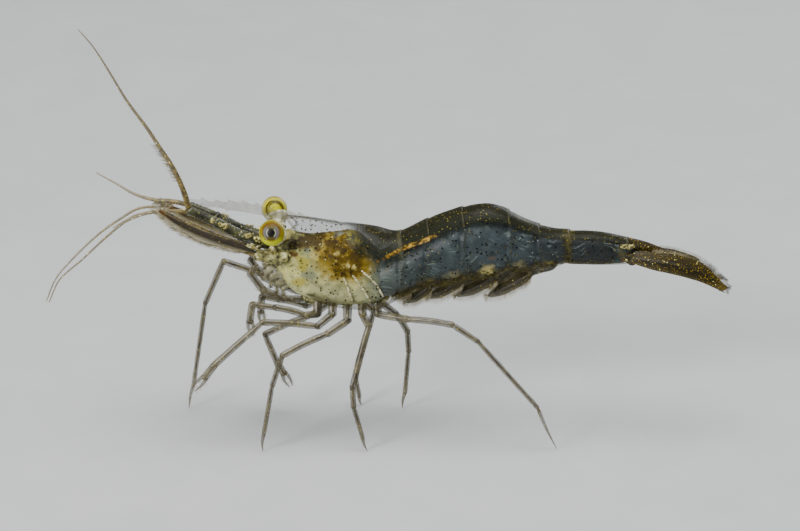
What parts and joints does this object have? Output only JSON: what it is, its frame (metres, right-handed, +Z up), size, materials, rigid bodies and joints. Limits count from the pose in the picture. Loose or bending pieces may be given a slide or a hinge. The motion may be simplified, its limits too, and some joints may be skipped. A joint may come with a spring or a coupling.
{
  "type": "freshwater glass shrimp model",
  "caption": "Life-size still model of a clear freshwater shrimp standing on its walking legs, with a toothed beak, stalked eyes, long feelers, ringed abdomen and tail fan.",
  "frame": {"origin": "on the floor, under the middle of the whole animal from the feelers to the tail fan", "axes": "+X towards the tail along the body, +Y towards the animal's right side, +Z up"},
  "size_m": [0.0548, 0.0106, 0.0357],
  "materials": {
    "shell": "clear glossy shell plate over blue-grey muscle",
    "chest": "clear glossy shell over cream and brown flesh",
    "limb": "translucent grey-brown, satin",
    "tail": "translucent golden brown with yellow flecks, satin",
    "feeler": "pale horn, satin",
    "eye": "wet, glossy, yellow with a dark spot"
  },
  "bodies": {
    "root": {"antenna_base_left": "limb", "antenna_base_right": "limb", "antenna_flagellum_left": "feeler", "antenna_flagellum_right": "feeler", "antenna_flagellum_tip_left": "feeler", "antenna_flagellum_tip_right": "feeler", "antenna_scale_left": "limb", "antenna_scale_right": "limb", "antennule_inner_left": "feeler", "antennule_inner_right": "feeler", "antennule_outer_left": "feeler", "antennule_outer_right": "feeler", "antennule_outer_tip_left": "feeler", "antennule_stem_left": "limb", "antennule_stem_right": "limb", "breast_plate": "chest", "carapace": "chest", "eye_left": "eye", "eye_right": "eye", "eyestalk_left": "chest", "eyestalk_right": "chest", "forehead": "chest", "leg_1_left": "limb", "leg_1_right": "limb", "leg_2_left": "limb", "leg_2_right": "limb", "leg_3_left": "limb", "leg_3_right": "limb", "leg_4_left": "limb", "leg_4_right": "limb", "leg_5_left": "limb", "leg_5_right": "limb", "maxilliped_left": "limb", "maxilliped_right": "limb", "mouthparts": "chest", "rostrum": "shell", "somite_1": "shell", "somite_2": "shell", "somite_3": "shell", "somite_4": "shell", "somite_5": "shell", "somite_6": "shell", "swimmeret_1_left": "tail", "swimmeret_1_right": "tail", "swimmeret_2_left": "tail", "swimmeret_2_right": "tail", "swimmeret_3_left": "tail", "swimmeret_3_right": "tail", "swimmeret_4_left": "tail", "swimmeret_4_right": "tail", "swimmeret_5_left": "tail", "swimmeret_5_right": "tail", "telson": "tail", "uropod_inner_left": "tail", "uropod_inner_right": "tail", "uropod_outer_left": "tail", "uropod_outer_right": "tail"}
  },
  "joints": []
}
